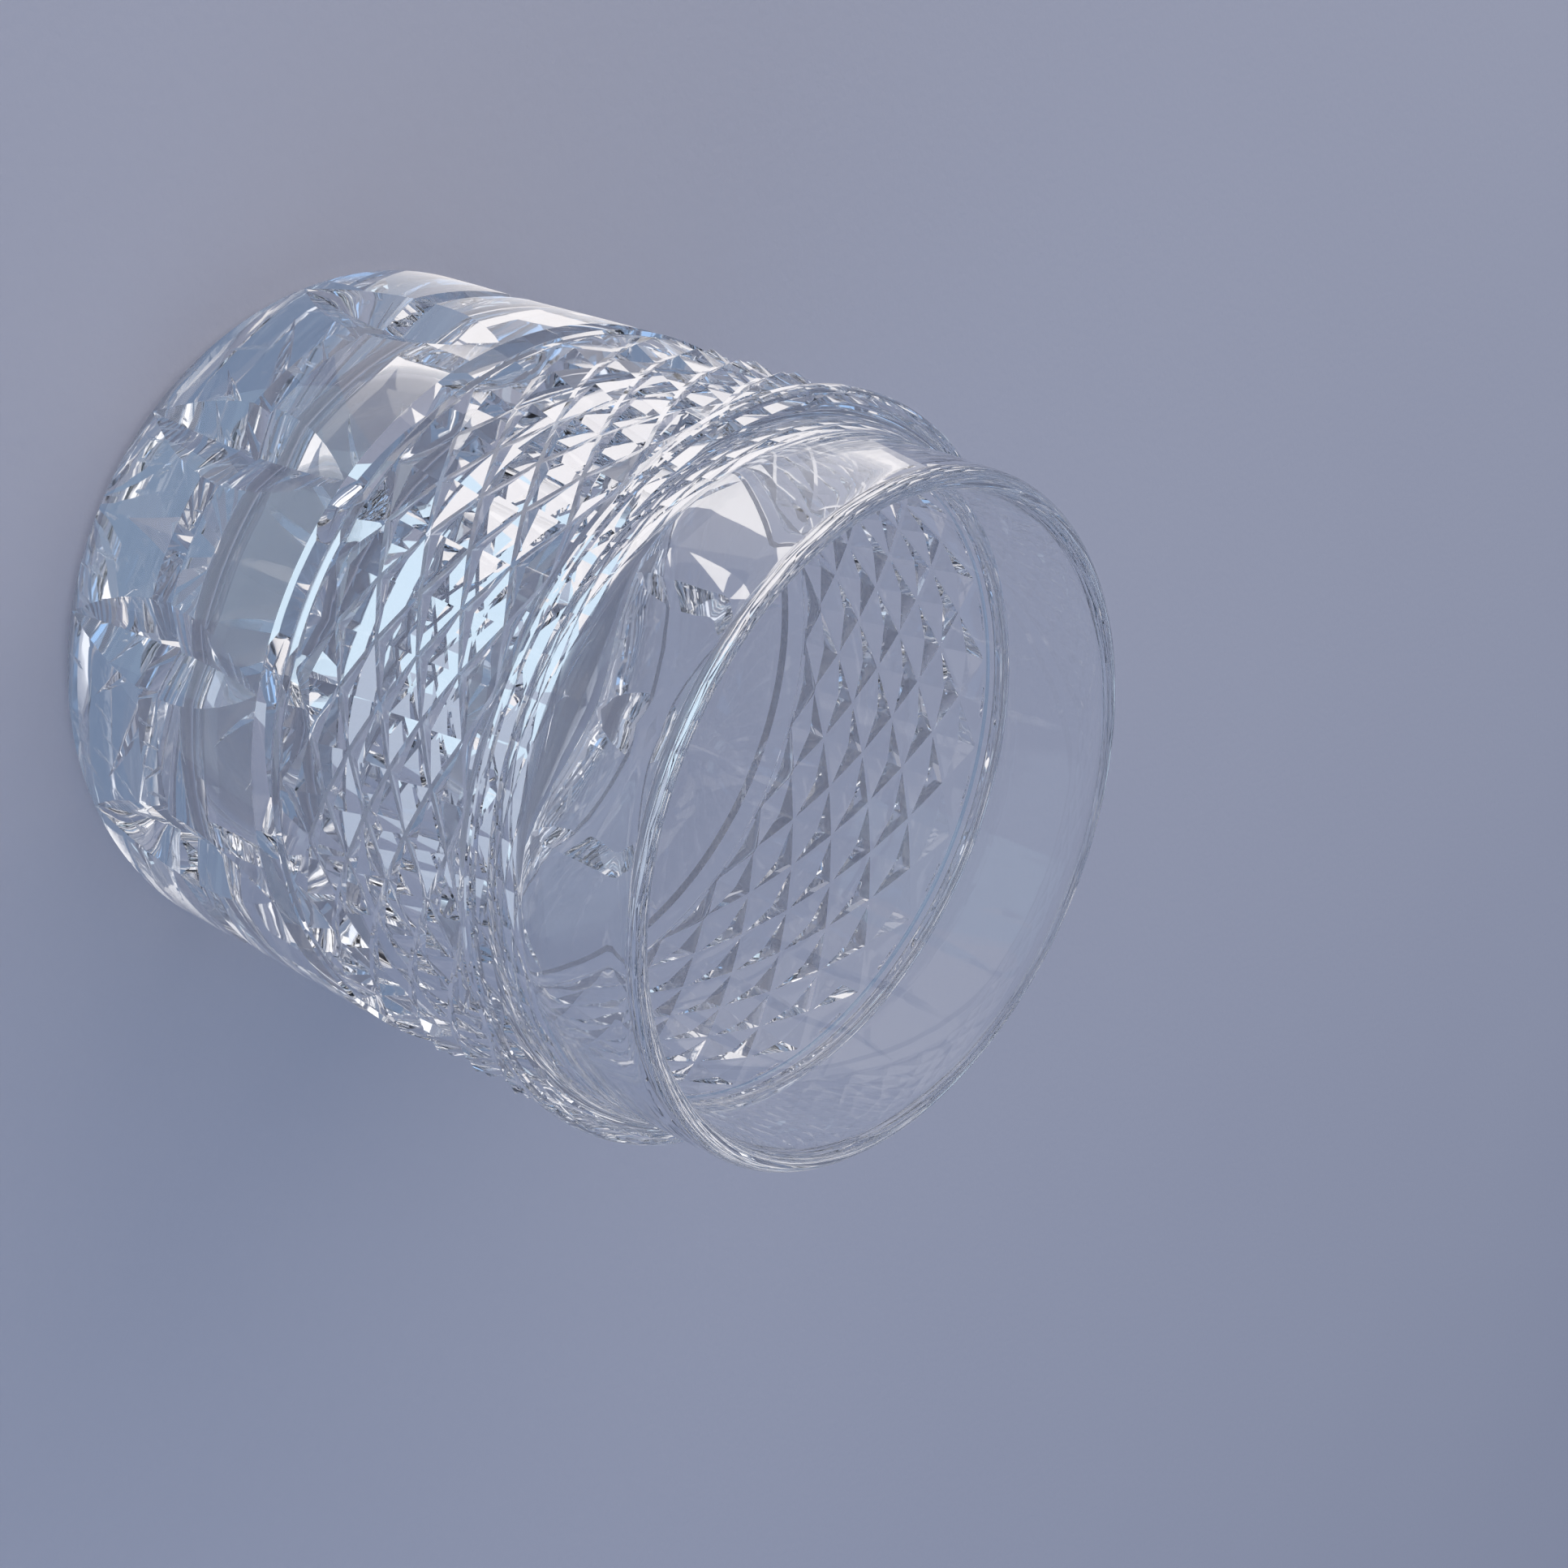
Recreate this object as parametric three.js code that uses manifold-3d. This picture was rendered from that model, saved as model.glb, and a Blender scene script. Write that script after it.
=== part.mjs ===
// Cut-crystal whiskey tumbler: one piece of heavy clear glass, standing on its base.
// Millimetres, +Z up, origin at the centre of the resting face.
//
// From the base up the outside wall has: a chamfered foot, boat-shaped upright mitre cuts,
// two ring cuts, one across the mitres and one over their tips, a band of raised diamonds
// between thin ring lines, a shoulder, and a plain thin lip. A many-rayed star is cut into
// the underside.

import * as THREE from 'three';
import { mergeVertices } from 'three/addons/utils/BufferGeometryUtils.js';
import Module from 'manifold-3d';

// ---- Driving dimensions ----------------------------------------------------------

const HEIGHT = 87;
const BODY_RADIUS = 42;
const LIP_WALL = 2.5;
const LIP_SETBACK = 3.9;
const LIP_LEAN = 0.4;
const LIP_HEIGHT = 18;
const FLOOR_THICKNESS = 14;
const BOWL_WALL = 8.3;
const BOWL_CORNER_RADIUS = 8;
const FOOT_CHAMFER = 1.4;

const SHOULDER_ROUND = 0.9;
const SHOULDER_RISE = 0.9;
const COVE_RADIUS = 2.4;

const RING_CUT_WIDTH = 3.5;
const RING_CUT_DEPTH = 1.25;
const LOWER_RING_CUT_HEIGHT = 16.7;
const UPPER_RING_CUT_HEIGHT = 36.8;

const MITRE_COUNT = 11;
const MITRE_FOOT = 1.5;
const MITRE_WIDTH = 11;
const MITRE_DEPTH = 2.5;

const RING_LINE_WIDTH = 0.9;
const RING_LINE_DEPTH = 0.5;
const RING_LINE_GAP = 0.5;

const DIAMOND_COUNT = 22;
const DIAMOND_HEIGHT = 6.25;
const DIAMOND_DEPTH = 1.5;
const DIAMOND_PHASE = THREE.MathUtils.degToRad(-5.5);

const STAR_RAY_COUNT = 22;
const STAR_OUTER_RADIUS = 31;
const STAR_INNER_RADIUS = 1.5;
const STAR_RAY_WIDTH = 3.4;
const STAR_DEPTH = 0.9;

// ---- Fineness and working clearances ---------------------------------------------

const ROUND_SEGMENTS = DIAMOND_COUNT * 3;
const WHEEL_SEGMENTS = 72;
const ARC_STEPS = 3;
const CUTTER_OVERHANG = 5;
const TIP_RELIEF = 0.15;

// ---- Sizes that follow -----------------------------------------------------------

const shoulderHeight = HEIGHT - LIP_HEIGHT;
const lipRadius = BODY_RADIUS - LIP_SETBACK;
const rimRadius = lipRadius - LIP_LEAN;
const upperRingCutBase = UPPER_RING_CUT_HEIGHT - RING_CUT_WIDTH / 2;
const diamondBandBase = UPPER_RING_CUT_HEIGHT + RING_CUT_WIDTH / 2 + RING_LINE_GAP;
const diamondBandTop = shoulderHeight - SHOULDER_ROUND - RING_LINE_WIDTH;
const mitrePitch = (2 * Math.PI) / MITRE_COUNT;
const facingAngle = -Math.PI / 2;

const wasm = await Module();
wasm.setup();

// ---- Turning three.js geometry into solids and back ------------------------------

function toSolid(geometry) {
  const bare = geometry.clone();
  bare.deleteAttribute('normal');
  bare.deleteAttribute('uv');
  const merged = mergeVertices(bare, 1e-4);
  return new wasm.Manifold(new wasm.Mesh({
    numProp: 3,
    vertProperties: new Float32Array(merged.attributes.position.array),
    triVerts: new Uint32Array(merged.index.array),
  }));
}

function toGeometry(solid) {
  const mesh = solid.getMesh();
  const geometry = new THREE.BufferGeometry();
  geometry.setAttribute('position', new THREE.BufferAttribute(mesh.vertProperties, 3));
  geometry.setIndex(new THREE.BufferAttribute(mesh.triVerts, 1));
  geometry.computeVertexNormals();
  return geometry;
}

// Points of an arc about a centre, from one angle to another, both ends included.
function arcPoints(centreRadius, centreHeight, radius, fromAngle, toAngle, steps = ARC_STEPS) {
  const points = [];
  for (let i = 0; i <= steps; i += 1) {
    const angle = THREE.MathUtils.lerp(fromAngle, toAngle, i / steps);
    points.push(new THREE.Vector2(
      centreRadius + radius * Math.cos(angle),
      centreHeight + radius * Math.sin(angle),
    ));
  }
  return points;
}

// A turned shape about +Z from a (radius, height) outline that starts and ends on the
// axis or closes on itself.
function turnedGeometry(outline, segments) {
  const geometry = new THREE.LatheGeometry(outline, segments);
  geometry.rotateX(Math.PI / 2);
  return geometry;
}

function turned(outline) {
  return toSolid(turnedGeometry(outline, ROUND_SEGMENTS));
}

// ---- The uncut glass -------------------------------------------------------------

function blankOutline() {
  const bowlRadius = BODY_RADIUS - BOWL_WALL;
  const cornerHeight = FLOOR_THICKNESS + BOWL_CORNER_RADIUS;
  const rimRound = LIP_WALL / 2;
  const coveCentreHeight = shoulderHeight + SHOULDER_RISE + COVE_RADIUS;
  return [
    new THREE.Vector2(0, 0),
    new THREE.Vector2(BODY_RADIUS - FOOT_CHAMFER, 0),
    new THREE.Vector2(BODY_RADIUS, FOOT_CHAMFER),
    ...arcPoints(BODY_RADIUS - SHOULDER_ROUND, shoulderHeight - SHOULDER_ROUND, SHOULDER_ROUND,
      0, Math.PI / 2),
    ...arcPoints(lipRadius + COVE_RADIUS, coveCentreHeight, COVE_RADIUS,
      -Math.PI / 2, -Math.PI),
    ...arcPoints(rimRadius - rimRound, HEIGHT - rimRound, rimRound,
      0, Math.PI, 2 * ARC_STEPS),
    new THREE.Vector2(lipRadius - LIP_WALL, shoulderHeight),
    ...arcPoints(bowlRadius - BOWL_CORNER_RADIUS, cornerHeight, BOWL_CORNER_RADIUS,
      0, -Math.PI / 2, 2 * ARC_STEPS),
    new THREE.Vector2(0, FLOOR_THICKNESS),
  ];
}

// ---- Cutters ---------------------------------------------------------------------

// One upright mitre cut: the dip that a wheel with a V rim leaves in the wall, pointed at
// both ends. It runs from just above the foot to the base of the upper ring cut.
function mitreCutter(angle) {
  const halfLength = (upperRingCutBase - MITRE_FOOT) / 2;
  const wheelRadius = (halfLength ** 2 + MITRE_DEPTH ** 2) / (2 * MITRE_DEPTH);
  const rimBase = wheelRadius - MITRE_DEPTH - CUTTER_OVERHANG;
  const rimHalfWidth = (MITRE_WIDTH / 2) * (1 + CUTTER_OVERHANG / MITRE_DEPTH);
  const geometry = turnedGeometry([
    new THREE.Vector2(rimBase, -rimHalfWidth),
    new THREE.Vector2(wheelRadius, 0),
    new THREE.Vector2(rimBase, rimHalfWidth),
    new THREE.Vector2(rimBase, -rimHalfWidth),
  ], WHEEL_SEGMENTS);
  geometry.rotateX(Math.PI / 2);
  geometry.translate(BODY_RADIUS - MITRE_DEPTH + wheelRadius, 0, MITRE_FOOT + halfLength);
  geometry.rotateZ(angle);
  return toSolid(geometry);
}

// A V groove all the way round, centred on one height.
function ringCutter(height, width, depth) {
  const rise = (width / 2) * (1 + CUTTER_OVERHANG / depth);
  return turned([
    new THREE.Vector2(BODY_RADIUS - depth, height),
    new THREE.Vector2(BODY_RADIUS + CUTTER_OVERHANG, height - rise),
    new THREE.Vector2(BODY_RADIUS + CUTTER_OVERHANG, height + rise),
    new THREE.Vector2(BODY_RADIUS - depth, height),
  ]);
}

// The stock that the crossing mitre cuts leave: a drum whose wall is a field of pyramids.
// Groove crossings and pyramid tips alternate along every row and every column, and the
// grooves run out to the depth of the ring lines at both ends of the band.
function diamondStock() {
  const bandHeight = diamondBandTop - diamondBandBase;
  const halfRows = Math.round((2 * bandHeight) / DIAMOND_HEIGHT);
  const columns = 2 * DIAMOND_COUNT;
  const isGroove = (column, row) => (column + row) % 2 === 0;
  const geometry = new THREE.CylinderGeometry(1, 1, bandHeight, columns, halfRows);
  geometry.rotateX(Math.PI / 2);
  const position = geometry.attributes.position;
  const point = new THREE.Vector3();
  for (let i = 0; i < position.count; i += 1) {
    point.fromBufferAttribute(position, i);
    const row = Math.round((point.z / bandHeight + 0.5) * halfRows);
    const column = Math.round(Math.atan2(point.y, point.x) / (Math.PI / DIAMOND_COUNT)) + columns;
    const atEnd = row === 0 || row === halfRows;
    const grooveDepth = atEnd ? RING_LINE_DEPTH : DIAMOND_DEPTH;
    const depth = isGroove(column, row) ? grooveDepth : TIP_RELIEF;
    const radius = (BODY_RADIUS - depth) * Math.hypot(point.x, point.y);
    const angle = Math.atan2(point.y, point.x);
    position.setXYZ(i, radius * Math.cos(angle), radius * Math.sin(angle), point.z);
  }
  layEdgesAlongGrooves(geometry, halfRows, columns);
  geometry.rotateZ(facingAngle + DIAMOND_PHASE);
  geometry.translate(0, 0, diamondBandBase + bandHeight / 2);
  return toSolid(geometry);
}

// Splits each wall rectangle of the drum along its groove, never from tip to tip.
function layEdgesAlongGrooves(geometry, rows, columns) {
  const position = geometry.attributes.position;
  const index = geometry.index;
  const reach = (vertex) => Math.hypot(position.getX(vertex), position.getY(vertex));
  for (let rectangle = 0; rectangle < rows * columns; rectangle += 1) {
    const first = 6 * rectangle;
    const [a, b, d] = [0, 1, 2].map((k) => index.getX(first + k));
    const c = index.getX(first + 4);
    if (reach(b) + reach(d) > reach(a) + reach(c)) {
      [a, b, c, a, c, d].forEach((vertex, k) => index.setX(first + k, vertex));
    }
  }
}

// The band's own ring of glass, from inside the grooves to outside the wall.
function bandRing() {
  const inner = BODY_RADIUS - 2 * DIAMOND_DEPTH;
  const outer = BODY_RADIUS + CUTTER_OVERHANG;
  return turned([
    new THREE.Vector2(inner, diamondBandBase),
    new THREE.Vector2(outer, diamondBandBase),
    new THREE.Vector2(outer, diamondBandTop),
    new THREE.Vector2(inner, diamondBandTop),
    new THREE.Vector2(inner, diamondBandBase),
  ]);
}

// One ray of the star under the base: a long boat-shaped mitre cut, pointed at both ends.
function starRayCutter(angle) {
  const halfLength = (STAR_OUTER_RADIUS - STAR_INNER_RADIUS) / 2;
  const geometry = new THREE.OctahedronGeometry(1);
  geometry.scale(halfLength, STAR_RAY_WIDTH / 2, STAR_DEPTH);
  geometry.translate(STAR_INNER_RADIUS + halfLength, 0, 0);
  geometry.rotateZ(angle);
  return toSolid(geometry);
}

// ---- The tumbler -----------------------------------------------------------------

function tumblerGeometry() {
  let glass = turned(blankOutline());
  for (let i = 0; i < MITRE_COUNT; i += 1) {
    glass = glass.subtract(mitreCutter(facingAngle + (i + 0.5) * mitrePitch));
  }
  for (const height of [LOWER_RING_CUT_HEIGHT, UPPER_RING_CUT_HEIGHT]) {
    glass = glass.subtract(ringCutter(height, RING_CUT_WIDTH, RING_CUT_DEPTH));
  }
  glass = glass.subtract(bandRing().subtract(diamondStock()));
  for (const height of [diamondBandBase, diamondBandTop]) {
    glass = glass.subtract(ringCutter(height, RING_LINE_WIDTH, RING_LINE_DEPTH));
  }
  for (let i = 0; i < STAR_RAY_COUNT; i += 1) {
    glass = glass.subtract(starRayCutter(facingAngle + (i * 2 * Math.PI) / STAR_RAY_COUNT));
  }
  return toGeometry(glass);
}

function crystalMaterial() {
  return new THREE.MeshStandardMaterial({
    color: 0xe6ecf4,
    roughness: 0.03,
    metalness: 0,
    transparent: true,
    opacity: 0.35,
  });
}

const tumbler = new THREE.Mesh(tumblerGeometry(), crystalMaterial());
tumbler.name = 'tumbler_glass';

const part = new THREE.Group();
part.name = 'whiskey_tumbler';
part.add(tumbler);

export default part;
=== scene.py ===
"""Looks of a cut-crystal whiskey tumbler: one piece of heavy clear glass on a pale floor.

The glass is modelled as one sector of its surface, laid flat as a chart of angle and path
along the section, parted along every edge that the cutting wheel leaves, then wrapped round
the axis, repeated and closed. Everything is in metres, +Z up, origin at the centre of the
resting face.
"""

import logging
import math
from collections.abc import Iterable, Sequence
from dataclasses import dataclass, field
from enum import Enum, IntEnum

import bmesh
import bpy
from mathutils import Matrix, Vector


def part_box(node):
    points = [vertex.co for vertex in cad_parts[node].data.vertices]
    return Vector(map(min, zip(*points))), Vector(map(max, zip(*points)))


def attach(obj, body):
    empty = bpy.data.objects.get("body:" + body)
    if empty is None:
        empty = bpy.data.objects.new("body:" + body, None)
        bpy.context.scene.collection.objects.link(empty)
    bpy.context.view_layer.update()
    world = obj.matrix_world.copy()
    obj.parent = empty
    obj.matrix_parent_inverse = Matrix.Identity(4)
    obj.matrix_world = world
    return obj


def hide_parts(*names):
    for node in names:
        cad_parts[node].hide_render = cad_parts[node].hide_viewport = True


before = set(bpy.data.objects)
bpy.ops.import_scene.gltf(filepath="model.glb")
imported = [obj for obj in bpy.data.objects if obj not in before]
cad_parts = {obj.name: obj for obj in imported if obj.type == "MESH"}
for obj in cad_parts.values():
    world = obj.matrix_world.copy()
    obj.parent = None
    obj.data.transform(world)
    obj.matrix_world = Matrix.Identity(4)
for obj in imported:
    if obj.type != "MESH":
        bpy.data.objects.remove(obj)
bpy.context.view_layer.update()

LOG = logging.getLogger("whiskey_tumbler")
MM = 0.001
TOUCHING = 1e-6
FINE_TOUCHING = TOUCHING / 10
CHART_TOUCHING = 1e-6
ROW_DIGITS = 7
CARD_HEIGHT = -0.2 * MM  # between the floor and the resting face


class Side(Enum):
    """Which of the two families of crossing mitre cuts a groove belongs to."""

    RISING = -1
    FALLING = 1


class Corner(IntEnum):
    """Places of the section's first corners in its list of stations."""

    STAR_FIELD_EDGE = 1
    FOOT_EDGE = 2
    WALL_BASE = 3


class MixSocket(IntEnum):
    """Socket numbers of a Mix node that blends colours; its socket names aren't unique."""

    FACTOR = 0
    FIRST = 6
    SECOND = 7
    RESULT = 2


@dataclass(frozen=True)
class Notch:
    """A straight-sided groove with a narrow flat along its bottom.

    Args:
        centre: Height of the groove's middle, in metres.
        width: Width across its mouth.
        depth: Depth of its flat below the surface.
        flat: Width of the flat.
    """

    centre: float
    width: float
    depth: float
    flat: float

    def rows(self) -> list[float]:
        """Heights of the four edges of the groove, from the lowest up."""
        return [
            self.centre - self.width / 2,
            self.centre - self.flat / 2,
            self.centre + self.flat / 2,
            self.centre + self.width / 2,
        ]

    def share(self, height: float) -> float:
        """Share of the full depth that the groove has at a height.

        Args:
            height: Height above the base, in metres.

        Returns:
            0 outside the groove, 1 over its flat.
        """
        side = (self.width - self.flat) / 2
        reach = self.width / 2 - abs(height - self.centre)
        return min(1.0, max(0.0, reach / side))


@dataclass(frozen=True)
class Outline:
    """The section of the uncut glass, from the centre of the base round to the bowl's centre.

    The path coordinate is the distance walked along the section, in body radii, which keeps
    the chart's two directions to one scale.
    """

    height: float = 87 * MM
    body_radius: float = 42 * MM
    foot_chamfer: float = 1.4 * MM
    star_field_radius: float = 32 * MM
    shoulder_round: float = 0.9 * MM
    shoulder_rise: float = 0.9 * MM
    cove_radius: float = 2.4 * MM
    lip_height: float = 18 * MM
    lip_setback: float = 3.9 * MM
    lip_lean: float = 0.4 * MM
    lip_wall: float = 2.5 * MM
    floor_thickness: float = 14 * MM
    floor_dish: float = 0.5 * MM
    bowl_wall: float = 8.3 * MM
    bowl_corner_radius: float = 8 * MM
    round_steps: int = 6
    cove_steps: int = 8
    rim_steps: int = 14
    corner_steps: int = 14
    wall_steps: int = 6
    wall_rows: tuple[float, ...] = ()

    @property
    def shoulder_height(self) -> float:
        """Height of the ledge between the body and the lip."""
        return self.height - self.lip_height

    @property
    def lip_radius(self) -> float:
        """Radius of the lip's outside where it leaves the shoulder."""
        return self.body_radius - self.lip_setback

    @staticmethod
    def arc(centre: Vector, radius: float, start: float, end: float, steps: int) -> list[Vector]:
        """Points of an arc in the section plane, both ends included.

        Args:
            centre: Middle of the arc as (radius, height).
            radius: Radius of the arc.
            start: First angle, in degrees.
            end: Last angle, in degrees.
            steps: Number of straight steps.

        Returns:
            The points as (radius, height) vectors.
        """
        angles = [math.radians(start + (end - start) * i / steps) for i in range(steps + 1)]
        return [centre + radius * Vector((math.cos(a), math.sin(a))) for a in angles]

    @staticmethod
    def between(first: Vector, last: Vector, steps: int) -> list[Vector]:
        """Points strictly between two points of the section.

        Args:
            first: The point before them.
            last: The point after them.
            steps: Number of straight steps from first to last.

        Returns:
            The inner points, evenly spaced.
        """
        return [first.lerp(last, i / steps) for i in range(1, steps)]

    def points(self) -> list[Vector]:
        """All corners of the section in order, as (radius, height) vectors."""
        body, cove, rim = self.body_radius, self.cove_radius, self.lip_wall / 2
        shoulder = self.shoulder_height
        bowl_radius = body - self.bowl_wall
        corner_height = self.floor_thickness + self.bowl_corner_radius
        cove_centre = Vector((self.lip_radius + cove, shoulder + self.shoulder_rise + cove))
        rim_centre = Vector((self.lip_radius - self.lip_lean - rim, self.height - rim))
        lip_foot = Vector((self.lip_radius, cove_centre.y))
        inner_lip = Vector((self.lip_radius - self.lip_wall, shoulder))
        bowl_side = Vector((bowl_radius, corner_height))
        corner_centre = Vector((bowl_radius - self.bowl_corner_radius, corner_height))
        floor_edge = Vector((corner_centre.x, self.floor_thickness))
        floor_middle = Vector((0.0, floor_edge.y))
        round_centre = Vector((body - self.shoulder_round, shoulder - self.shoulder_round))
        found = [
            Vector((0.0, 0.0)),
            Vector((self.star_field_radius, 0.0)),
            Vector((body - self.foot_chamfer, 0.0)),
            Vector((body, self.foot_chamfer)),
        ]
        found += [Vector((body, row)) for row in self.wall_rows]
        found += self.arc(round_centre, self.shoulder_round, 0, 90, self.round_steps)
        found += self.arc(cove_centre, cove, -90, -180, self.cove_steps)
        rim_round = self.arc(rim_centre, rim, 0, 180, self.rim_steps)
        found += self.between(lip_foot, rim_round[0], self.wall_steps)
        found += rim_round
        found += self.between(rim_round[-1], inner_lip, self.wall_steps)
        found.append(inner_lip)
        found += self.between(inner_lip, bowl_side, 2 * self.wall_steps)
        found += self.arc(corner_centre, self.bowl_corner_radius, 0, -90, self.corner_steps)
        bowl_floor = [*self.between(floor_edge, floor_middle, self.wall_steps), floor_middle]
        found += [self.dished(point) for point in bowl_floor]
        return found

    def dished(self, point: Vector) -> Vector:
        """Lowers a point of the bowl's floor by the shallow dish that a polished floor has.

        Args:
            point: A point of the flat floor, as (radius, height).

        Returns:
            The point, lowered.
        """
        edge = self.body_radius - self.bowl_wall - self.bowl_corner_radius
        share = 1 - (point.x / edge) ** 2
        return Vector((point.x, point.y - self.floor_dish * share * share))

    def stations(self) -> list[tuple[float, Vector]]:
        """The section's corners with the path coordinate of each."""
        walked, found, last = 0.0, [], None
        for point in self.points():
            if last is not None:
                walked += (point - last).length / self.body_radius
            found.append((walked, point))
            last = point
        return found


@dataclass(frozen=True)
class MitreCuts:
    """Upright mitre cuts round the foot of the wall, each a boat pointed at both ends."""

    count: int = 11
    foot: float = 1.5 * MM
    top: float = 35.05 * MM
    half_angle: float = math.radians(7.0)
    depth: float = 2.5 * MM
    steps: int = 12

    @property
    def pitch(self) -> float:
        """Angle from one mitre cut to the next."""
        return 2 * math.pi / self.count

    def rows(self) -> list[float]:
        """Heights at which the cut's curved edges are followed."""
        return [self.foot + (self.top - self.foot) * i / self.steps for i in range(self.steps + 1)]

    def share(self, height: float) -> float:
        """Share of its full width and depth that a cut has at a height."""
        half = (self.top - self.foot) / 2
        away = (height - self.foot - half) / half
        return max(0.0, 1 - away * away)

    def edge(self, height: float) -> float:
        """Angle of the cut's edge from the middle of the plain wall beside it."""
        return self.pitch / 2 - self.half_angle * self.share(height)

    def depth_at(self, angle: float, height: float) -> float:
        """Depth of the cut below the uncut wall.

        Args:
            angle: Angle from the middle of the plain wall, in radians.
            height: Height above the base.

        Returns:
            The depth, 0 on the plain wall.
        """
        share = self.share(height)
        if share <= 0:
            return 0.0
        inside = (abs(angle) - self.edge(height)) / (self.half_angle * share)
        return self.depth * share * max(0.0, inside)


@dataclass(frozen=True)
class DiamondCuts:
    """The band of raised diamonds that two families of crossing mitre cuts leave."""

    count: int = 22
    phase: float = math.radians(-5.5)
    half_rows: int = 9
    depth: float = 1.5 * MM
    end_depth: float = 0.5 * MM
    tip_relief: float = 0.1 * MM
    flat_share: float = 0.09

    @property
    def half_column(self) -> float:
        """Angle from a groove crossing to the next diamond's tip."""
        return math.pi / self.count

    def groove(self, across: float) -> float:
        """Share of the full depth at a place across one family of grooves.

        Args:
            across: Position in half diamonds; even whole numbers are groove middles.

        Returns:
            1 over the groove's flat, 0 half way to the next groove.
        """
        away = abs((across + 1) % 2 - 1)
        return 1 - max(0.0, away - self.flat_share) / (1 - self.flat_share)

    def depth_at(self, column: float, row: float) -> float:
        """Depth of the cut surface below the uncut wall.

        Args:
            column: Position round the band, in half diamonds.
            row: Position up the band, in half diamonds.

        Returns:
            The depth, in metres.
        """
        from_end = min(1.0, max(0.0, min(row, self.half_rows - row)))
        full = self.end_depth + (self.depth - self.end_depth) * from_end
        share = max(self.groove(column + row), self.groove(column - row))
        return self.tip_relief + (full - self.tip_relief) * share


@dataclass(frozen=True)
class StarCut:
    """The many-rayed star cut into the underside, each ray a boat pointed at both ends."""

    ray_count: int = 22
    outer_radius: float = 31 * MM
    inner_radius: float = 1.5 * MM
    ray_width: float = 3.4 * MM
    depth: float = 0.9 * MM

    @property
    def middle(self) -> float:
        """Radius at which a ray is widest and deepest."""
        return (self.outer_radius + self.inner_radius) / 2

    def planes(self, angle: float) -> list[tuple[Vector, Vector]]:
        """Upright planes along the edges of one ray.

        Args:
            angle: Direction of the ray.

        Returns:
            (point, normal) of each plane.
        """
        turn = Matrix.Rotation(angle, 3, "Z")
        length, half = self.outer_radius - self.middle, self.ray_width / 2
        tips = [Vector((self.inner_radius, 0, 0)), Vector((self.outer_radius, 0, 0))]
        found = [(Vector((self.middle, 0, 0)), Vector((1, 0, 0))), (tips[0], Vector((0, 1, 0)))]
        for tip, along in ((tips[0], 1), (tips[1], -1)):
            for side in (1, -1):
                found.append((tip, Vector((-side * half, along * length, 0))))
        return [(turn @ point, turn @ normal) for point, normal in found]

    def depth_at(self, point: Vector, angle: float) -> float:
        """Depth of one ray at a point of the underside.

        Args:
            point: The point, in metres.
            angle: Direction of the ray.

        Returns:
            The depth, 0 outside the ray.
        """
        local = Matrix.Rotation(-angle, 3, "Z") @ point
        length = self.outer_radius - self.middle
        along = abs(local.x - self.middle) / length
        across = abs(local.y) / (self.ray_width / 2)
        return self.depth * max(0.0, 1 - along - across)


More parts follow.
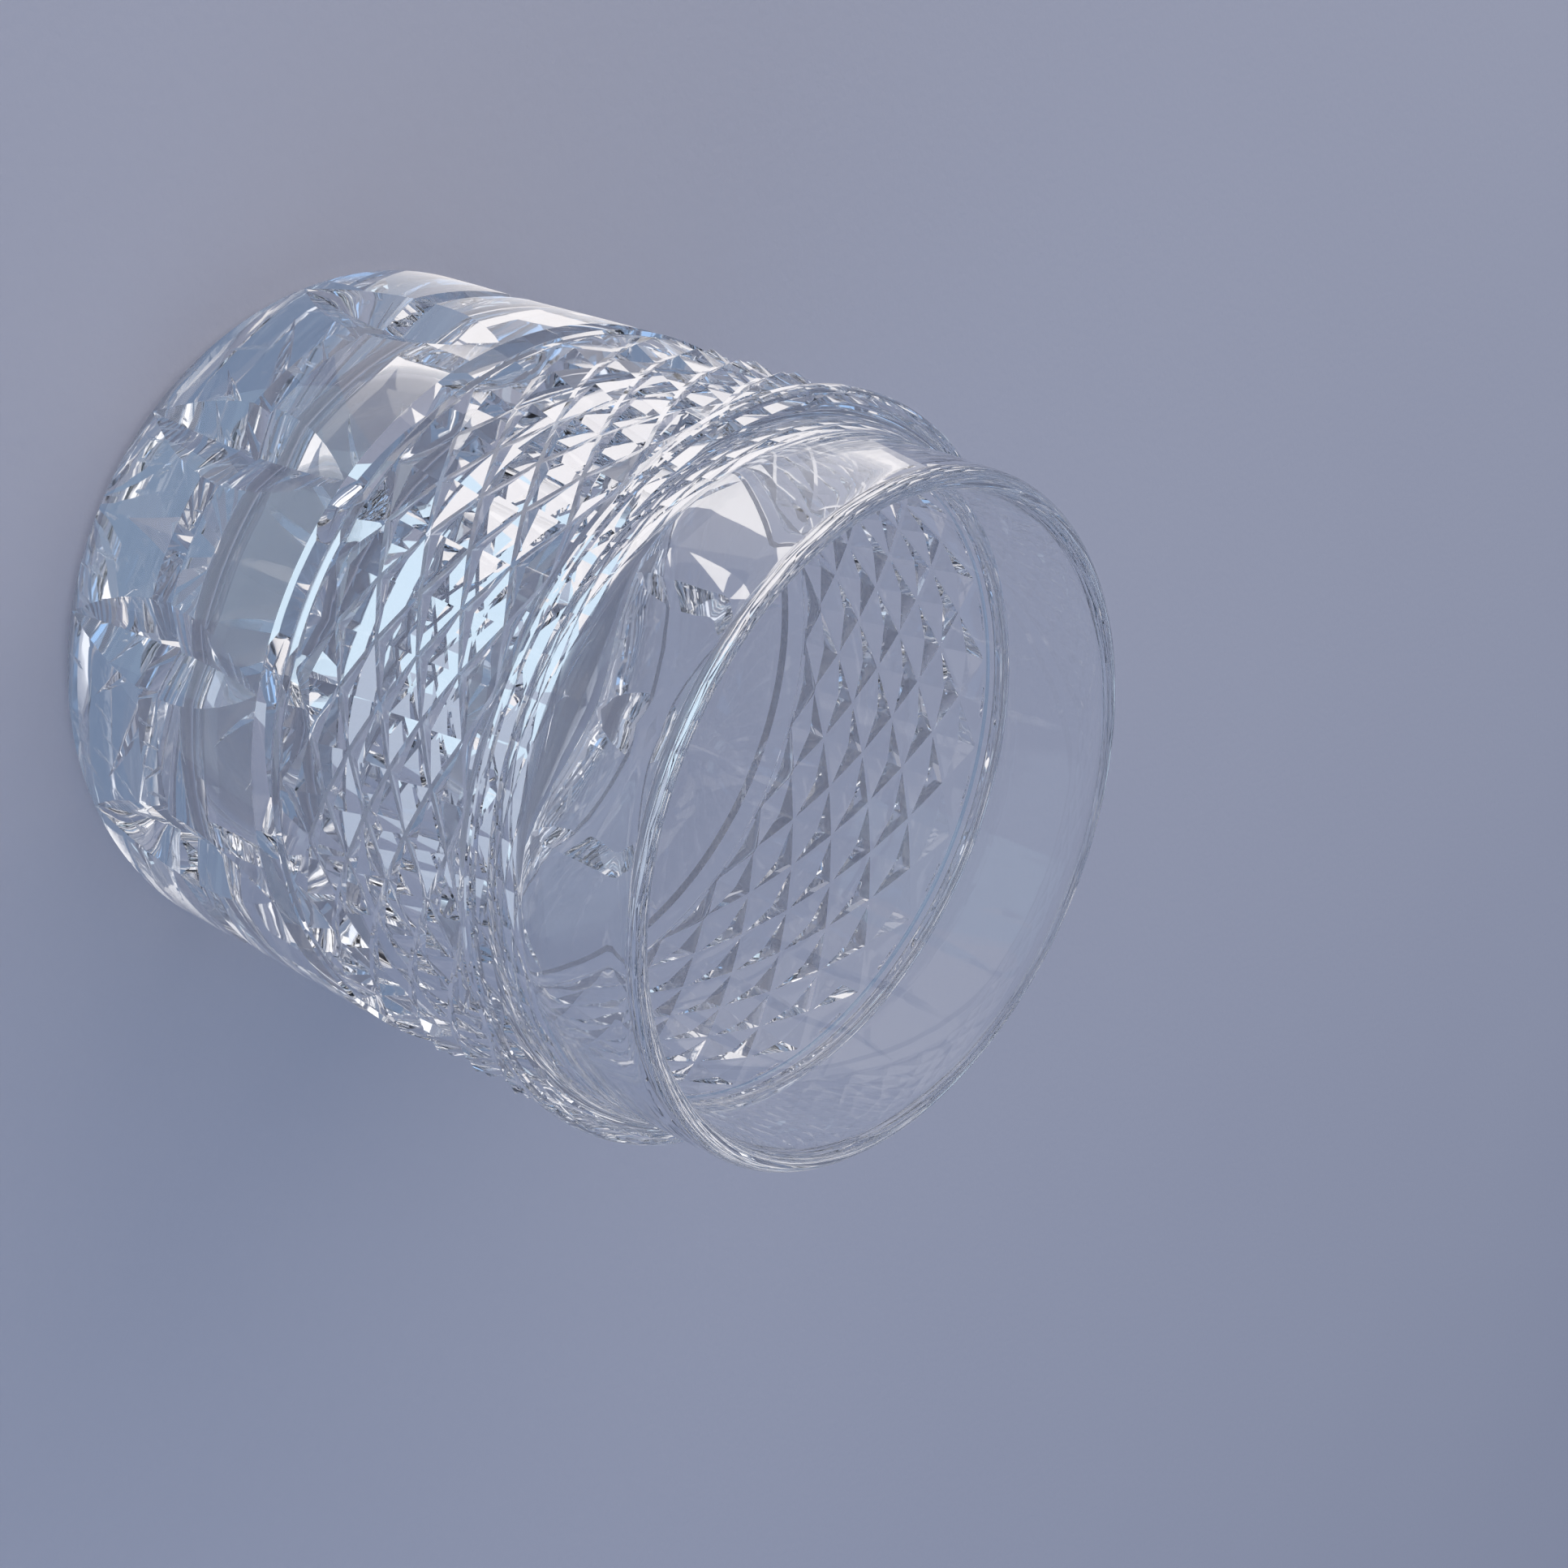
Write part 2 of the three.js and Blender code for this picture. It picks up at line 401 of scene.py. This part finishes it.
@dataclass
class CutTumbler:
    """The whole glass: one sector charted, cut, wrapped, repeated and closed."""

    mitres: MitreCuts = field(default_factory=MitreCuts)
    diamonds: DiamondCuts = field(default_factory=DiamondCuts)
    star: StarCut = field(default_factory=StarCut)
    lower_cut: Notch = Notch(centre=16.7 * MM, width=3.5 * MM, depth=1.25 * MM, flat=0.16 * MM)
    upper_cut: Notch = Notch(centre=36.8 * MM, width=3.5 * MM, depth=1.25 * MM, flat=0.16 * MM)
    lower_line: Notch = Notch(centre=39.05 * MM, width=0.9 * MM, depth=0.5 * MM, flat=0.2 * MM)
    upper_line: Notch = Notch(centre=67.2 * MM, width=0.9 * MM, depth=0.5 * MM, flat=0.2 * MM)
    facing: float = -math.pi / 2
    plain_columns: int = 24
    underside_skip: int = 3
    sharp_angle: float = math.radians(13)

    def __post_init__(self) -> None:
        """Lays the section out with a row on every level edge of the wall."""
        notches = (self.lower_cut, self.upper_cut, self.lower_line, self.upper_line)
        rows = {round(row, ROW_DIGITS) for cut in (*notches, self.mitres) for row in cut.rows()}
        self.outline = Outline(wall_rows=tuple(sorted(rows)))
        self.stations = self.outline.stations()
        self.band_base = self.lower_line.rows()[-1]
        self.band_top = self.upper_line.rows()[0]

    def path_of(self, height: float) -> float:
        """Path coordinate of a height on the outside wall."""
        path, base = self.stations[Corner.WALL_BASE]
        return path + (height - base.y) / self.outline.body_radius

    def section_at(self, path: float) -> Vector:
        """Point of the uncut section at a path coordinate, as (radius, height)."""
        for (before, start), (after, end) in zip(self.stations, self.stations[1:]):
            if path <= after + CHART_TOUCHING:
                share = min(1.0, max(0.0, (path - before) / (after - before)))
                return start.lerp(end, share)
        return self.stations[-1][1]

    def band_place(self, angle: float, path: float) -> tuple[float, float]:
        """Column and row of a chart point in half diamonds."""
        low, high = self.path_of(self.lower_line.centre), self.path_of(self.upper_line.centre)
        column = (angle - self.diamonds.phase) / self.diamonds.half_column
        return column, self.diamonds.half_rows * (path - low) / (high - low)

    def cut_depth(self, angle: float, path: float, height: float) -> float:
        """Depth of the wall's cuts at a chart point.

        Args:
            angle: Angle from the sector's middle.
            path: Path coordinate.
            height: Height above the base.

        Returns:
            The depth below the uncut wall, in metres.
        """
        if height < self.upper_cut.rows()[-1] + TOUCHING:
            rings = [n.depth * n.share(height) for n in (self.lower_cut, self.upper_cut)]
            return self.mitres.depth_at(angle, height) + sum(rings)
        lines = [n.depth * n.share(height) for n in (self.lower_line, self.upper_line)]
        if self.band_base - TOUCHING < height < self.band_top + TOUCHING:
            lines.append(self.diamonds.depth_at(*self.band_place(angle, path)))
        return max(lines)

    def blank_sector(self) -> bmesh.types.BMesh:
        """One sector of the surface as a flat sheet: X is the angle, Y the path."""
        sheet = bmesh.new()
        half, top = self.mitres.pitch / 2, self.stations[-1][0]
        corners = [(-half, 0), (half, 0), (half, top), (-half, top)]
        sheet.faces.new([sheet.verts.new((x, y, 0)) for x, y in corners])
        for path, _ in self.stations[1:-1]:
            self.part(sheet, (0, top), Vector((0, path, 0)), Vector((0, 1, 0)))
        return sheet

    @staticmethod
    def bisect(
        mesh: bmesh.types.BMesh,
        faces: Sequence[bmesh.types.BMFace],
        dist: float,
        point: Vector,
        normal: Vector,
    ) -> None:
        """Parts some faces of a mesh along a plane.

        Args:
            mesh: The mesh.
            faces: The faces to part.
            dist: Distance at which a corner counts as on the plane.
            point: A point of the plane.
            normal: The plane's normal, of any length.
        """
        edges = {e for f in faces for e in f.edges}
        verts = {v for f in faces for v in f.verts}
        bmesh.ops.bisect_plane(
            mesh,
            geom=[*faces, *edges, *verts],
            dist=dist,
            plane_co=point,
            plane_no=normal.normalized(),
        )

    def part(
        self,
        sheet: bmesh.types.BMesh,
        paths: tuple[float, float],
        point: Vector,
        normal: Vector,
    ) -> None:
        """Parts the sheet's faces between two path coordinates along a straight line.

        Args:
            sheet: The chart.
            paths: Lowest and highest path coordinate of the faces to part.
            point: A point of the line.
            normal: The line's normal in the chart.
        """
        low, high = paths
        faces = [f for f in sheet.faces if low < f.calc_center_median().y < high]
        self.bisect(sheet, faces, CHART_TOUCHING, point, normal)

    def part_columns(
        self, sheet: bmesh.types.BMesh, paths: tuple[float, float], angles: Iterable[float]
    ) -> None:
        """Parts a zone of the sheet along upright lines.

        Args:
            sheet: The chart.
            paths: Lowest and highest path coordinate of the zone.
            angles: Angles of the lines.
        """
        for angle in angles:
            self.part(sheet, paths, Vector((angle, 0, 0)), Vector((1, 0, 0)))

    def part_mitres(self, sheet: bmesh.types.BMesh) -> None:
        """Parts the foot of the wall along the curved edges of the upright mitre cuts."""
        low, high = self.mitres.foot, self.mitres.top
        heights = [point.y for _, point in self.stations[Corner.WALL_BASE + 1 :]]
        rows = [height for height in heights if low - TOUCHING < height < high + TOUCHING]
        for before, after in zip(rows, rows[1:]):
            if after <= before:
                break  # the section has come back down inside the bowl
            zone = (self.path_of(before), self.path_of(after))
            start = Vector((self.mitres.edge(before), zone[0], 0))
            end = Vector((self.mitres.edge(after), zone[1], 0))
            for side in (-1, 1):
                first = Vector((side * start.x, start.y, 0))
                along = Vector((side * end.x, end.y, 0)) - first
                self.part(sheet, zone, first, Vector((along.y, -along.x, 0)))

    def part_band(self, sheet: bmesh.types.BMesh) -> None:
        """Parts the diamond band along its ridges and both edges of every groove."""
        cuts = self.diamonds
        low, high = self.path_of(self.lower_line.centre), self.path_of(self.upper_line.centre)
        row = (high - low) / cuts.half_rows
        half = self.mitres.pitch / 2
        first = math.floor((-half - cuts.phase) / cuts.half_column)
        last = math.ceil((half - cuts.phase) / cuts.half_column)
        zone = (self.path_of(self.band_base), self.path_of(self.band_top))
        columns = [cuts.phase + c * cuts.half_column for c in range(first, last + 1)]
        self.part_columns(sheet, zone, columns)
        for r in range(1, cuts.half_rows):
            self.part(sheet, zone, Vector((0, low + r * row, 0)), Vector((0, 1, 0)))
        for side in Side:
            normal = Vector((1 / cuts.half_column, side.value / row, 0))
            reach = [0, side.value * cuts.half_rows]
            for line in range(first + min(reach) - 1, last + max(reach) + 2):
                if line % 2:
                    continue
                for offset in (-cuts.flat_share, cuts.flat_share):
                    start = cuts.phase + (line + offset) * cuts.half_column
                    self.part(sheet, zone, Vector((start, low, 0)), normal)

    def wrap(self, sheet: bmesh.types.BMesh) -> None:
        """Wraps the chart round the axis and sinks its cuts.

        Args:
            sheet: The chart, which becomes one sector of the glass.
        """
        foot = self.stations[Corner.FOOT_EDGE][0]
        wall_top = self.path_of(self.upper_line.rows()[-1])
        for vert in sheet.verts:
            angle, path = vert.co.x, vert.co.y
            section = self.section_at(path)
            radius = section.x
            if foot - CHART_TOUCHING < path < wall_top + CHART_TOUCHING:
                radius -= self.cut_depth(angle, path, section.y)
            vert.co = (radius * math.cos(angle), radius * math.sin(angle), section.y)

    def cut_star(self, sector: bmesh.types.BMesh) -> None:
        """Parts the underside along the star's edges and sinks its rays.

        Args:
            sector: One wrapped sector of the glass.
        """
        pitch = 2 * math.pi / self.star.ray_count
        rays = [-pitch, 0.0, pitch]
        for ray in rays:
            for point, normal in self.star.planes(ray):
                faces = [f for f in self.underside(sector) if self.nearest(f, rays) == ray]
                self.bisect(sector, faces, FINE_TOUCHING, point, normal)
        for vert in {v for f in self.underside(sector) for v in f.verts}:
            vert.co.z = max(self.star.depth_at(vert.co, ray) for ray in rays)

    def underside(self, sector: bmesh.types.BMesh) -> list[bmesh.types.BMFace]:
        """Faces of the resting side that lie in the star's field."""
        limit = self.outline.star_field_radius
        found = []
        for face in sector.faces:
            centre = face.calc_center_median()
            if centre.z < TOUCHING and centre.xy.length < limit:
                found.append(face)
        return found

    @staticmethod
    def nearest(face: bmesh.types.BMFace, rays: Sequence[float]) -> float:
        """Direction of the ray that a face of the underside lies closest to."""
        centre = face.calc_center_median()
        angle = math.atan2(centre.y, centre.x)
        return min(rays, key=lambda ray: abs(ray - angle))

    def build(self) -> bpy.types.Object:
        """Builds the closed glass.

        Returns:
            The glass, at the origin, with its place in its mesh.
        """
        sheet = self.blank_sector()
        half = self.mitres.pitch / 2
        plain = [half * (2 * i / self.plain_columns - 1) for i in range(1, self.plain_columns)]
        skip = self.underside_skip
        field_edge = self.stations[Corner.STAR_FIELD_EDGE][0]
        band = (self.path_of(self.band_base), self.path_of(self.band_top))
        self.part_columns(sheet, (0, field_edge), plain[skip - 1 :: skip])
        self.part_columns(sheet, (field_edge, band[0]), plain)
        self.part_mitres(sheet)
        self.part_band(sheet)
        self.part_columns(sheet, (band[1], self.stations[-1][0]), plain)
        self.wrap(sheet)
        self.cut_star(sheet)
        bmesh.ops.rotate(sheet, verts=sheet.verts, matrix=Matrix.Rotation(self.facing, 3, "Z"))
        bmesh.ops.spin(
            sheet,
            geom=[*sheet.verts, *sheet.edges, *sheet.faces],
            axis=(0, 0, 1),
            angle=2 * math.pi - self.mitres.pitch,
            steps=self.mitres.count - 1,
            use_duplicate=True,
        )
        bmesh.ops.remove_doubles(sheet, verts=sheet.verts, dist=TOUCHING)
        bmesh.ops.dissolve_degenerate(sheet, edges=sheet.edges, dist=FINE_TOUCHING)
        bmesh.ops.recalc_face_normals(sheet, faces=sheet.faces)
        open_edges = sum(1 for edge in sheet.edges if not edge.is_manifold)
        LOG.info("glass: %d faces, %d open edges", len(sheet.faces), open_edges)
        mesh = bpy.data.meshes.new("cut_tumbler")
        sheet.to_mesh(mesh)
        sheet.free()
        mesh.shade_smooth()
        mesh.set_sharp_from_angle(angle=self.sharp_angle)
        glass = bpy.data.objects.new("cut_tumbler", mesh)
        bpy.context.scene.collection.objects.link(glass)
        return glass


# ---- Shader maths ----------------------------------------------------------------


class Value:
    """A shader socket that arithmetic can be written with; each operation adds a node."""

    def __init__(self, nodes: "NodeBench", socket: bpy.types.NodeSocket) -> None:
        """Wraps a socket.

        Args:
            nodes: The bench whose tree the socket is in.
            socket: The output socket.
        """
        self.nodes = nodes
        self.socket = socket

    def _maths(self, operation: str, first: "Operand", second: "Operand") -> "Value":
        """Adds a Math node."""
        return self.nodes.add("ShaderNodeMath", {"operation": operation}, {0: first, 1: second})

    def __add__(self, other: "Operand") -> "Value":
        """Sum."""
        return self._maths("ADD", self, other)

    def __radd__(self, other: "Operand") -> "Value":
        """Sum, reflected."""
        return self._maths("ADD", other, self)

    def __sub__(self, other: "Operand") -> "Value":
        """Difference."""
        return self._maths("SUBTRACT", self, other)

    def __rsub__(self, other: "Operand") -> "Value":
        """Difference, reflected."""
        return self._maths("SUBTRACT", other, self)

    def __mul__(self, other: "Operand") -> "Value":
        """Product."""
        return self._maths("MULTIPLY", self, other)

    def __rmul__(self, other: "Operand") -> "Value":
        """Product, reflected."""
        return self._maths("MULTIPLY", other, self)


Operand = Value | float


class NodeBench:
    """Adds nodes to the tree of one material or world."""

    def __init__(self, tree: bpy.types.NodeTree) -> None:
        """Starts with an empty tree.

        Args:
            tree: The node tree to fill.
        """
        self.tree = tree
        tree.nodes.clear()

    def add(
        self,
        kind: str,
        settings: dict[str, object] | None = None,
        inputs: dict[int | str, object] | None = None,
        output: int | str = 0,
    ) -> Value:
        """Adds one node.

        Args:
            kind: The node's type name.
            settings: Properties set before the sockets; "stops" fills a colour ramp.
            inputs: Values, or wrapped sockets to link, by socket name or number.
            output: Which output to hand back.

        Returns:
            The wrapped output socket.
        """
        node = self.tree.nodes.new(kind)
        for name, setting in (settings or {}).items():
            if name == "stops":
                self._fill_ramp(node, setting)
            else:
                setattr(node, name, setting)
        for name, given in (inputs or {}).items():
            if isinstance(given, Value):
                self.tree.links.new(given.socket, node.inputs[name])
            else:
                node.inputs[name].default_value = given
        return Value(self, node.outputs[output]) if node.outputs else Value(self, None)

    def noise(self, place: Value, scale: float, detail: float = 2.0) -> Value:
        """Adds a soft random pattern.

        Args:
            place: Where each point is.
            scale: Number of its patches in a metre.
            detail: How many finer layers it has.

        Returns:
            The pattern, 0 to 1.
        """
        given = {"Vector": place, "Scale": scale, "Detail": detail}
        return self.add("ShaderNodeTexNoise", inputs=given)

    def rise(self, value: Value, span: tuple[float, float]) -> Value:
        """Turns a value into a share of the way from the start of a span to its end.

        Args:
            value: The value.
            span: The values that give 0 and 1.

        Returns:
            The share, held between 0 and 1.
        """
        start, end = span
        given = {"Value": value, "From Min": start, "From Max": end}
        return self.add("ShaderNodeMapRange", inputs=given)

    def blend(self, share: Value, first: tuple, second: tuple) -> Value:
        """Blends two colours.

        Args:
            share: Share of the second colour.
            first: The colour at 0.
            second: The colour at 1.

        Returns:
            The blended colour.
        """
        given = {MixSocket.FACTOR: share, MixSocket.FIRST: first, MixSocket.SECOND: second}
        return self.add("ShaderNodeMix", {"data_type": "RGBA"}, given, MixSocket.RESULT)

    @staticmethod
    def _fill_ramp(node: bpy.types.Node, stops: Sequence[tuple[float, tuple]]) -> None:
        """Sets a colour ramp's stops, given as (position, colour)."""
        elements = node.color_ramp.elements
        while len(elements) < len(stops):
            elements.new(1.0)
        for element, (position, colour) in zip(elements, stops):
            element.position = position
            element.color = colour


@dataclass(frozen=True)
class CrystalFinish:
    """Polished lead crystal: clear, heavy, with the faint marks that use leaves."""

    ior: float = 1.545
    tint: tuple[float, float, float, float] = (0.975, 0.985, 0.995, 1.0)
    smoky_tint: tuple[float, float, float, float] = (0.96, 0.973, 0.985, 1.0)
    polish: float = 0.012
    cloud_scale: float = 60.0
    cloud_detail: float = 3.0
    smear_span: tuple[float, float] = (0.55, 0.8)
    smear_roughness: float = 0.02
    wave_scale: float = 95.0
    wave_height: float = 0.02 * MM
    wear: float = 0.16
    wear_span: tuple[float, float] = (1.2 * MM, 0.0)
    scratch_scale: float = 900.0
    scratch_detail: float = 4.0
    scratch_stretch: tuple[float, float, float] = (1.0, 0.12, 1.0)
    scratch_span: tuple[float, float] = (0.62, 0.7)
    scratch_depth: float = 0.02 * MM

    def make(self) -> bpy.types.Material:
        """Builds the material.

        Returns:
            The finished material.
        """
        material = bpy.data.materials.new("lead_crystal")
        material.use_nodes = True
        bench = NodeBench(material.node_tree)
        place = bench.add("ShaderNodeTexCoord", output="Object")
        height = bench.add("ShaderNodeSeparateXYZ", inputs={"Vector": place}, output="Z")
        cloud = bench.noise(place, self.cloud_scale, self.cloud_detail)
        wave = bench.noise(place, self.wave_scale)
        stretched = bench.add(
            "ShaderNodeMapping", inputs={"Vector": place, "Scale": self.scratch_stretch}
        )
        scratch = bench.noise(stretched, self.scratch_scale, self.scratch_detail)
        resting = bench.rise(height, self.wear_span)
        worn = resting * bench.rise(scratch, self.scratch_span)
        smears = bench.rise(cloud, self.smear_span)
        roughness = self.polish + smears * self.smear_roughness + worn * self.wear
        tint = bench.blend(cloud, self.tint, self.smoky_tint)
        relief = wave * self.wave_height - worn * self.scratch_depth
        bump = bench.add(
            "ShaderNodeBump", inputs={"Strength": 1.0, "Distance": 1.0, "Height": relief}
        )
        surface = bench.add(
            "ShaderNodeBsdfPrincipled",
            inputs={
                "Base Color": tint,
                "Roughness": roughness,
                "Normal": bump,
                "IOR": self.ior,
                "Transmission Weight": 1.0,
            },
        )
        bench.add("ShaderNodeOutputMaterial", inputs={"Surface": surface})
        return material


@dataclass(frozen=True)
class FloorFinish:
    """A plain pale floor with the slightest mottling."""

    light: tuple[float, float, float, float] = (0.77, 0.745, 0.79, 1.0)
    dark: tuple[float, float, float, float] = (0.70, 0.68, 0.745, 1.0)
    roughness: float = 0.75
    cloud_scale: float = 5.0
    cloud_detail: float = 3.0
    grain_scale: float = 900.0
    grain_strength: float = 0.15
    grain_height: float = 0.4 * MM

    def make(self) -> bpy.types.Material:
        """Builds the material.

        Returns:
            The finished material.
        """
        material = bpy.data.materials.new("pale_floor")
        material.use_nodes = True
        bench = NodeBench(material.node_tree)
        place = bench.add("ShaderNodeTexCoord", output="Object")
        cloud = bench.noise(place, self.cloud_scale, self.cloud_detail)
        grain = bench.noise(place, self.grain_scale)
        colour = bench.blend(cloud, self.light, self.dark)
        bump = bench.add(
            "ShaderNodeBump",
            inputs={
                "Strength": self.grain_strength,
                "Distance": self.grain_height,
                "Height": grain,
            },
        )
        surface = bench.add(
            "ShaderNodeBsdfPrincipled",
            inputs={"Base Color": colour, "Roughness": self.roughness, "Normal": bump},
        )
        bench.add("ShaderNodeOutputMaterial", inputs={"Surface": surface})
        return material


@dataclass(frozen=True)
class Lamp:
    """One soft rectangular light.

    Args:
        name: What the light is.
        place: Where it is, in metres.
        size: Its two sides.
        glow: Its brightness, where 1 shows as white.
        colour: Its colour.
        lies_flat: True for a glowing card that lies face up; others face the glass.
    """

    name: str
    place: tuple[float, float, float]
    size: tuple[float, float]
    glow: float
    colour: tuple[float, float, float]
    lies_flat: bool = False

    def build(self, target: Vector) -> bpy.types.Object:
        """Makes the light.

        Args:
            target: The point it faces.

        Returns:
            The light's object.
        """
        data = bpy.data.lights.new(self.name, "AREA")
        data.shape = "RECTANGLE"
        data.size, data.size_y = self.size
        data.energy = self.glow * math.pi * self.size[0] * self.size[1]
        data.color = self.colour
        lamp = bpy.data.objects.new(self.name, data)
        lamp.location = self.place
        facing = Vector((0, 0, 1)) if self.lies_flat else target - Vector(self.place)
        lamp.rotation_euler = facing.to_track_quat("-Z", "Y").to_euler()
        lamp.visible_camera = False
        bpy.context.scene.collection.objects.link(lamp)
        return lamp


@dataclass(frozen=True)
class LightPaths:
    """How far light is followed through the many walls of the glass."""

    glass_bounces: int = 24
    mirror_bounces: int = 12
    matt_bounces: int = 3
    mirror_blur: float = 0.3
    brightest_indirect: float = 6.0

    def apply(self) -> None:
        """Sets the renderer to these limits, with plain colours."""
        scene = bpy.context.scene
        scene.cycles.max_bounces = self.glass_bounces
        scene.cycles.transmission_bounces = self.glass_bounces
        scene.cycles.glossy_bounces = self.mirror_bounces
        scene.cycles.diffuse_bounces = self.matt_bounces
        scene.cycles.caustics_refractive = True
        scene.cycles.caustics_reflective = True
        scene.cycles.blur_glossy = self.mirror_blur
        scene.cycles.sample_clamp_indirect = self.brightest_indirect
        scene.cycles.use_denoising = True
        scene.view_settings.view_transform = "Standard"


@dataclass
class Studio:
    """The floor, the lights and the camera."""

    floor_half: float = 4.0
    floor_segments: int = 8
    floor_gap: float = 0.4 * MM
    floor_finish: FloorFinish = field(default_factory=FloorFinish)
    light_paths: LightPaths = field(default_factory=LightPaths)
    lamps: tuple[Lamp, ...] = (
        Lamp("warm_window", (-0.70, -0.10, 0.42), (0.90, 0.60), 0.95, (1.0, 0.95, 0.88)),
        Lamp("high_window", (-0.15, -0.50, 0.90), (0.60, 0.45), 0.72, (0.97, 0.98, 1.0)),
        Lamp("cool_side", (0.60, -0.12, 0.42), (0.50, 0.40), 0.60, (0.34, 0.60, 1.0)),
        Lamp(
            "warm_card",
            (-0.154, -0.01, CARD_HEIGHT),
            (0.228, 0.15),
            0.66,
            (1.0, 0.92, 0.80),
            lies_flat=True,
        ),
        Lamp(
            "cool_card",
            (-0.013, -0.081, CARD_HEIGHT),
            (0.054, 0.074),
            0.60,
            (0.70, 0.93, 1.0),
            lies_flat=True,
        ),
        Lamp(
            "faint_card",
            (0.064, -0.092, CARD_HEIGHT),
            (0.10, 0.096),
            0.26,
            (0.78, 0.92, 1.0),
            lies_flat=True,
        ),
    )
    sky: tuple[float, float, float, float] = (0.34, 0.355, 0.435, 1.0)
    dim_sky: tuple[float, float, float, float] = (0.17, 0.235, 0.36, 1.0)
    dim_side: tuple[float, float, float] = (0.45, 0.70, 0.55)
    dim_span: tuple[float, float] = (0.35, 0.9)
    aim_height: float = 70.9 * MM
    camera_distance: float = 264.3 * MM
    camera_elevation: float = math.radians(37.6)
    camera_roll: float = math.radians(112.1)
    field_of_view: float = math.radians(34.8)
    near_clip: float = 10 * MM
    far_clip: float = 16.0

    def build_floor(self) -> bpy.types.Object:
        """Makes the floor, a hair below the glass so that light gets under its foot.

        Returns:
            The floor's object.
        """
        sheet = bmesh.new()
        segments = self.floor_segments
        bmesh.ops.create_grid(
            sheet, x_segments=segments, y_segments=segments, size=self.floor_half
        )
        bmesh.ops.translate(sheet, verts=sheet.verts, vec=(0, 0, -self.floor_gap))
        mesh = bpy.data.meshes.new("floor")
        sheet.to_mesh(mesh)
        sheet.free()
        floor = bpy.data.objects.new("floor", mesh)
        floor.data.materials.append(self.floor_finish.make())
        bpy.context.scene.collection.objects.link(floor)
        return floor

    def build_sky(self) -> None:
        """Makes the room's soft surrounding light, dimmer overhead and behind the glass."""
        world = bpy.data.worlds.new("studio")
        bpy.context.scene.world = world
        world.use_nodes = True
        bench = NodeBench(world.node_tree)
        place = bench.add("ShaderNodeTexCoord", output="Generated")
        towards = bench.add(
            "ShaderNodeVectorMath",
            {"operation": "DOT_PRODUCT"},
            {0: place, 1: self.dim_side},
            "Value",
        )
        start, end = self.dim_span
        ramp = bench.add(
            "ShaderNodeValToRGB",
            {"stops": [(start, self.sky), (end, self.dim_sky)]},
            {0: towards * 0.5 + 0.5},
        )
        light = bench.add("ShaderNodeBackground", inputs={"Color": ramp, "Strength": 1.0})
        bench.add("ShaderNodeOutputWorld", inputs={"Surface": light})

    def build_camera(self) -> bpy.types.Object:
        """Makes the camera, above the rim and rolled so that the glass lies across the view.

        Returns:
            The camera's object.
        """
        elevation = self.camera_elevation
        back = Vector((0, -math.cos(elevation), math.sin(elevation)))
        data = bpy.data.cameras.new("camera")
        data.angle = self.field_of_view
        data.clip_start = self.near_clip
        data.clip_end = self.far_clip
        camera = bpy.data.objects.new("camera", data)
        camera.location = Vector((0, 0, self.aim_height)) + back * self.camera_distance
        level = (-back).to_track_quat("-Z", "Y")
        roll = Matrix.Rotation(self.camera_roll, 3, "Z").to_quaternion()
        camera.rotation_euler = (level @ roll).to_euler()
        bpy.context.scene.collection.objects.link(camera)
        bpy.context.scene.camera = camera
        return camera

    def build(self, target: Vector) -> None:
        """Builds the whole studio.

        Args:
            target: The middle of the glass.
        """
        self.build_camera()
        self.build_floor()
        self.build_sky()
        for lamp in self.lamps:
            lamp.build(target)
        self.light_paths.apply()


def main() -> None:
    """Builds the studio and the glass, and reports each piece."""
    logging.basicConfig(level=logging.INFO, format="%(name)s: %(message)s")
    low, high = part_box("tumbler_glass")
    Studio().build((low + high) / 2)
    glass = CutTumbler().build()
    glass.data.materials.append(CrystalFinish().make())
    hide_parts("tumbler_glass")
    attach(glass, "root")


if __name__ == "__main__":
    main()
